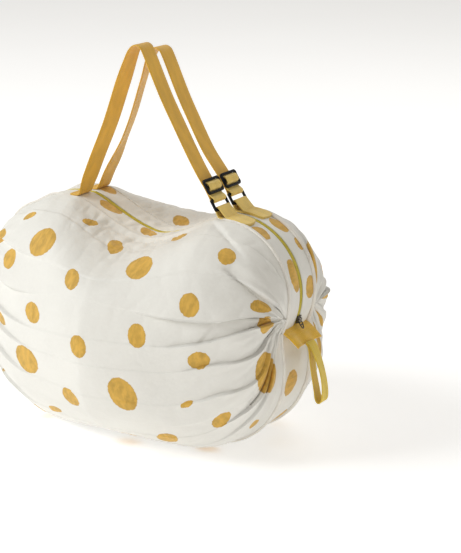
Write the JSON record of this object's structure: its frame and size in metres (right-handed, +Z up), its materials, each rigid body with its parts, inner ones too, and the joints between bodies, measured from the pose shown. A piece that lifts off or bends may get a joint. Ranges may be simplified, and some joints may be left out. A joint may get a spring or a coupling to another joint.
{
  "type": "foldable travel tote bag",
  "caption": "Foldable printed travel bag with a top zip, a pair of adjustable carry straps, stitched end tabs and an elastic loop for the rolled-up bag.",
  "frame": {"origin": "middle of the flat base, on the surface the bag stands on", "axes": "+X along the zip towards the end with the elastic loop, +Y to the rear, +Z up"},
  "size_m": [0.4305, 0.316, 0.4415],
  "materials": {
    "printed_fabric": "off-white woven polyester printed with gold dots, slight sheen",
    "strap_webbing": "gold woven polyester webbing",
    "tab_webbing": "gold twill webbing, stitched round its edge",
    "elastic": "ribbed yellow elastic band",
    "zip_tape": "yellow woven zip tape",
    "zip_coil": "yellow moulded nylon coil",
    "slider_metal": "dark plated metal",
    "seam_binding": "off-white turned seam edge",
    "black_plastic": "glossy black moulded plastic"
  },
  "bodies": {
    "bag": {"front_panel": "printed_fabric", "rear_panel": "printed_fabric", "bottom_strip": "printed_fabric", "top_strip_front": "printed_fabric", "top_strip_rear": "printed_fabric", "zip_tape_front": "zip_tape", "zip_tape_rear": "zip_tape", "zip_coil_front": "zip_coil", "zip_coil_rear": "zip_coil", "zip_stops": "slider_metal", "piping_front": "seam_binding", "piping_rear": "seam_binding", "strap_foot_front": "strap_webbing", "strap_foot_rear": "strap_webbing", "anchor_tab_front": "strap_webbing", "anchor_tab_rear": "strap_webbing"},
    "strap_front_body": {"strap_front": "strap_webbing", "strap_end_front": "strap_webbing", "ring_front": "black_plastic"},
    "strap_rear_body": {"strap_rear": "strap_webbing", "strap_end_rear": "strap_webbing", "ring_rear": "black_plastic"},
    "glide_front_body": {"glide_front": "black_plastic", "strap_wrap_front": "strap_webbing"},
    "glide_rear_body": {"glide_rear": "black_plastic", "strap_wrap_rear": "strap_webbing"},
    "slider_body": {"zip_slider": "slider_metal"},
    "pull_body": {"zip_pull": "slider_metal"},
    "tab_right_body": {"end_tab_right": "tab_webbing"},
    "tab_left_body": {"end_tab_left": "tab_webbing"},
    "elastic_body": {"elastic_loop": "elastic"}
  },
  "joints": [
    {"name": "strap_front_swing", "type": "hinge", "parent": "bag", "child": "strap_front_body", "pos_m": [0.09605, -0.0185, 0.28412], "axis": [1, 0, 0], "range_deg": [-1.5, 85], "deforming": ["anchor_tab_front", "strap_foot_front"]},
    {"name": "glide_front_slide", "type": "slide", "parent": "strap_front_body", "child": "glide_front_body", "axis": [-0.5373, 0, 0.8434], "range_m": [0, 0.06], "deforming": ["strap_end_front"]},
    {"name": "strap_rear_swing", "type": "hinge", "parent": "bag", "child": "strap_rear_body", "pos_m": [0.09605, 0.0185, 0.28412], "axis": [-1, 0, 0], "range_deg": [-1.5, 85], "deforming": ["anchor_tab_rear", "strap_foot_rear"]},
    {"name": "glide_rear_slide", "type": "slide", "parent": "strap_rear_body", "child": "glide_rear_body", "axis": [-0.5373, 0, 0.8434], "range_m": [0, 0.06], "deforming": ["strap_end_rear"]},
    {"name": "zip_slider_travel", "type": "hinge", "parent": "bag", "child": "slider_body", "pos_m": [0.112, 0, 0.182], "axis": [0, -1, 0], "range_deg": [0, 105]},
    {"name": "zip_pull_flip", "type": "hinge", "parent": "slider_body", "child": "pull_body", "pos_m": [0.19256, 0, 0.15426], "axis": [0, -1, 0], "range_deg": [-8, 120]},
    {"name": "end_tab_right_flex", "type": "hinge", "parent": "bag", "child": "tab_right_body", "pos_m": [0.1883, 0, 0.14605], "axis": [0, -1, 0], "range_deg": [-12, 15], "stiffness_Nm_per_rad": 0.06},
    {"name": "end_tab_left_flex", "type": "hinge", "parent": "bag", "child": "tab_left_body", "pos_m": [-0.1883, 0, 0.14605], "axis": [0, 1, 0], "range_deg": [-12, 15], "stiffness_Nm_per_rad": 0.06},
    {"name": "elastic_loop_swing", "type": "hinge", "parent": "tab_right_body", "child": "elastic_body", "pos_m": [0.20914, 0, 0.12857], "axis": [0, -1, 0], "range_deg": [-4, 120]}
  ]
}
